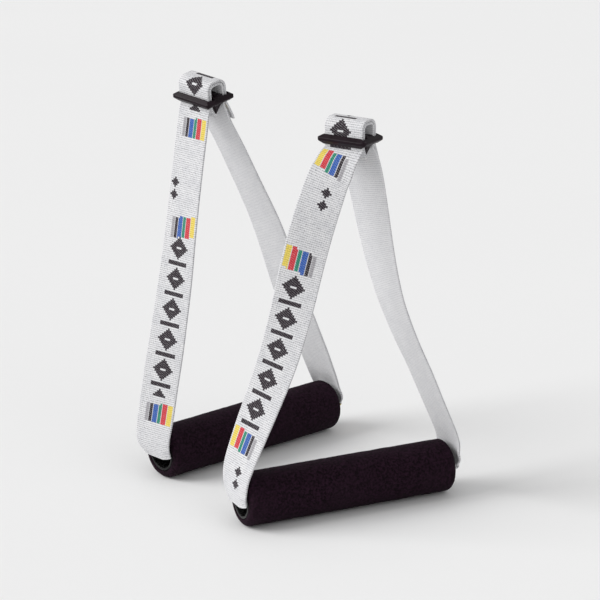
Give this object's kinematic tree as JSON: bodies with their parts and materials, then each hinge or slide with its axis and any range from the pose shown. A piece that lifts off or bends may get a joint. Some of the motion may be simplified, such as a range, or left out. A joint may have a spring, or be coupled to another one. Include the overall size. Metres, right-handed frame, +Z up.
{
  "type": "exercise handle pair",
  "caption": "Exercise handles for a resistance band: foam-covered tube grips on webbing triangles, each closed by a slide that leaves a small loop for the band.",
  "frame": {"origin": "on the floor, under the middle of the pair's bounding box", "axes": "+Z up from the floor to the band loops; X along the front handle's grip; the rear handle stands towards +Y"},
  "size_m": [0.1663, 0.1592, 0.2466],
  "materials": {
    "foam": "matte closed-cell foam, near-black",
    "tube": "gloss black moulded tube",
    "webbing": null,
    "slide": "satin black moulded plastic"
  },
  "bodies": {
    "front_strap": {"front_webbing_tube_run": "webbing", "front_webbing_left_leg": "webbing", "front_webbing_right_leg": "webbing", "front_webbing_outer_loop": "webbing", "front_webbing_inner_loop": "webbing"},
    "front_grip": {"front_foam_sleeve": "foam", "front_grip_tube": "tube"},
    "front_slide": {"front_slide": "slide"},
    "rear_strap": {"rear_webbing_tube_run": "webbing", "rear_webbing_left_leg": "webbing", "rear_webbing_right_leg": "webbing", "rear_webbing_outer_loop": "webbing", "rear_webbing_inner_loop": "webbing"},
    "rear_grip": {"rear_foam_sleeve": "foam", "rear_grip_tube": "tube"},
    "rear_slide": {"rear_slide": "slide"}
  },
  "joints": [
    {"name": "front_grip_spin", "type": "hinge", "parent": "front_strap", "child": "front_grip", "pos_m": [0.0102, -0.0611, 0.016], "axis": [1, 0, 0], "continuous": true},
    {"name": "front_slide_cinch", "type": "slide", "parent": "front_strap", "child": "front_slide", "axis": [0, 0, 1], "range_m": [0, 0.003]},
    {"name": "rear_lift", "type": "slide", "parent": "front_strap", "child": "rear_strap", "axis": [0, 0, 1], "range_m": [0, 0.3]},
    {"name": "rear_grip_spin", "type": "hinge", "parent": "rear_strap", "child": "rear_grip", "pos_m": [-0.0059, 0.0467, 0.016], "axis": [0.9627, 0.2706, 0], "continuous": true},
    {"name": "rear_slide_cinch", "type": "slide", "parent": "rear_strap", "child": "rear_slide", "axis": [-0.1396, -0.1241, 0.9824], "range_m": [0, 0.003]}
  ]
}
